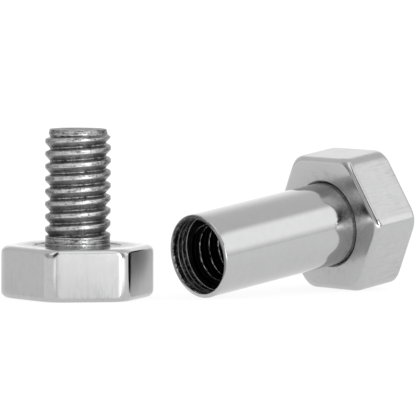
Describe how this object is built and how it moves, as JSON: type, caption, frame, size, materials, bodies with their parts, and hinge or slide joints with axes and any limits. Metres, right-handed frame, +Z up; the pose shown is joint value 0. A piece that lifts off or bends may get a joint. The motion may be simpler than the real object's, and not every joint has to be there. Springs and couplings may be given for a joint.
{
  "type": "ear tunnel",
  "caption": "Bolt-style ear tunnel, unscrewed: a threaded stud on a hexagonal head stands beside a threaded tube on a hexagonal head.",
  "frame": {"origin": "middle of the bounding box of both halves, at the height of the table they lie on", "axes": "+Z up, +X from the stud half to the tube half, +Y away from the viewer"},
  "size_m": [0.0404, 0.0262, 0.0163],
  "materials": {
    "polished_steel": "316L stainless steel, milled hexagon, tumbled and buffed bright with faint wear lines",
    "tube_steel": "316L stainless steel, turned and buffed bright outside, as cut inside",
    "threaded_steel": "316L stainless steel, thread as rolled, duller and darker in the roots"
  },
  "bodies": {
    "root": {"stud_head": "polished_steel", "threaded_stud": "threaded_steel", "tube_head": "polished_steel", "threaded_tube": "tube_steel"}
  },
  "joints": []
}
